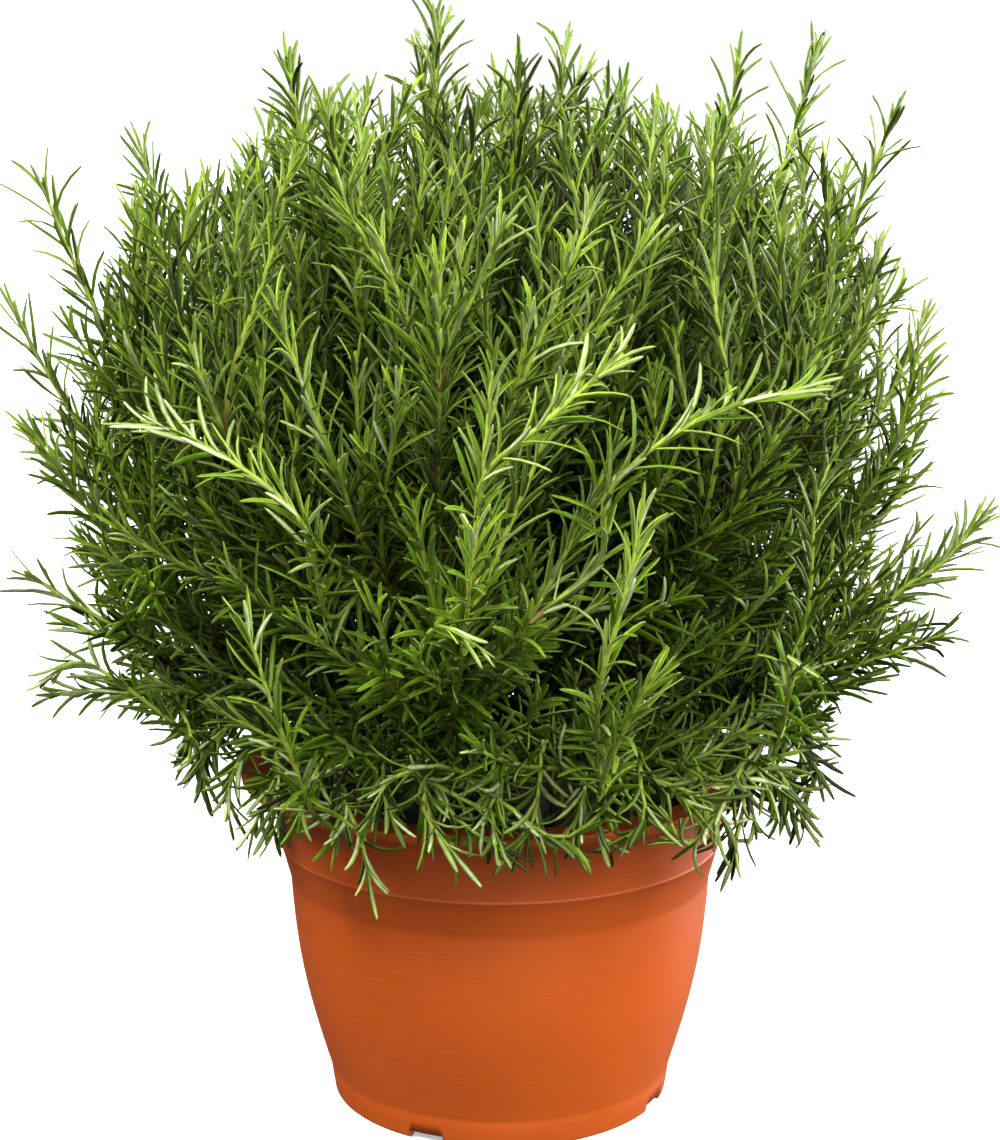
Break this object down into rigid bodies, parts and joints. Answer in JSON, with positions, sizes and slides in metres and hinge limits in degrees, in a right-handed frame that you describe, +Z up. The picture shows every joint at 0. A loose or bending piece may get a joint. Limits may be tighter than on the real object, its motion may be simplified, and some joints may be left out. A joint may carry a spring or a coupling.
{
  "type": "potted rosemary plant",
  "caption": "Bushy rosemary with upright needle-leaved stems in a wide-rimmed terracotta-coloured plastic pot filled with potting mix.",
  "frame": {"origin": "centre of the circle that the pot's foot stands on, which is also the middle of the whole plant's footprint", "axes": "+Z is up along the pot's axis, +X is to the right and -Y is towards the viewer of the picture"},
  "size_m": [0.5156, 0.516, 0.5581],
  "materials": {
    "pot_plastic": "satin moulded plastic, terracotta orange",
    "potting_mix": "coarse dark brown potting mix",
    "bark": "rough grey-brown bark",
    "leaf_green": "glossy green needles with pale undersides on yellow-green stems"
  },
  "bodies": {
    "root": {"pot": "pot_plastic", "soil": "potting_mix", "woody_stem_01": "bark", "woody_stem_02": "bark", "woody_stem_03": "bark", "woody_stem_04": "bark", "woody_stem_05": "bark", "woody_stem_06": "bark", "woody_stem_07": "bark", "woody_stem_08": "bark", "woody_stem_09": "bark", "woody_stem_10": "bark", "leafy_spray_01": "leaf_green", "leafy_spray_02": "leaf_green", "leafy_spray_03": "leaf_green", "leafy_spray_04": "leaf_green", "leafy_spray_05": "leaf_green", "leafy_spray_06": "leaf_green", "leafy_spray_07": "leaf_green", "leafy_spray_08": "leaf_green", "leafy_spray_09": "leaf_green", "leafy_spray_10": "leaf_green", "leafy_spray_11": "leaf_green", "leafy_spray_12": "leaf_green", "leafy_spray_13": "leaf_green", "leafy_spray_14": "leaf_green", "leafy_spray_15": "leaf_green", "leafy_spray_16": "leaf_green", "leafy_spray_17": "leaf_green", "leafy_spray_18": "leaf_green", "leafy_spray_19": "leaf_green", "leafy_spray_20": "leaf_green", "leafy_spray_21": "leaf_green", "leafy_spray_22": "leaf_green", "leafy_spray_23": "leaf_green", "leafy_spray_24": "leaf_green", "leafy_spray_25": "leaf_green", "leafy_spray_26": "leaf_green", "leafy_spray_27": "leaf_green", "leafy_spray_28": "leaf_green", "leafy_spray_29": "leaf_green", "leafy_spray_30": "leaf_green", "leafy_spray_31": "leaf_green", "leafy_spray_32": "leaf_green", "leafy_spray_33": "leaf_green", "leafy_spray_34": "leaf_green", "leafy_spray_35": "leaf_green", "leafy_spray_36": "leaf_green", "leafy_spray_37": "leaf_green", "leafy_spray_38": "leaf_green", "leafy_spray_39": "leaf_green", "leafy_spray_40": "leaf_green"}
  },
  "joints": []
}
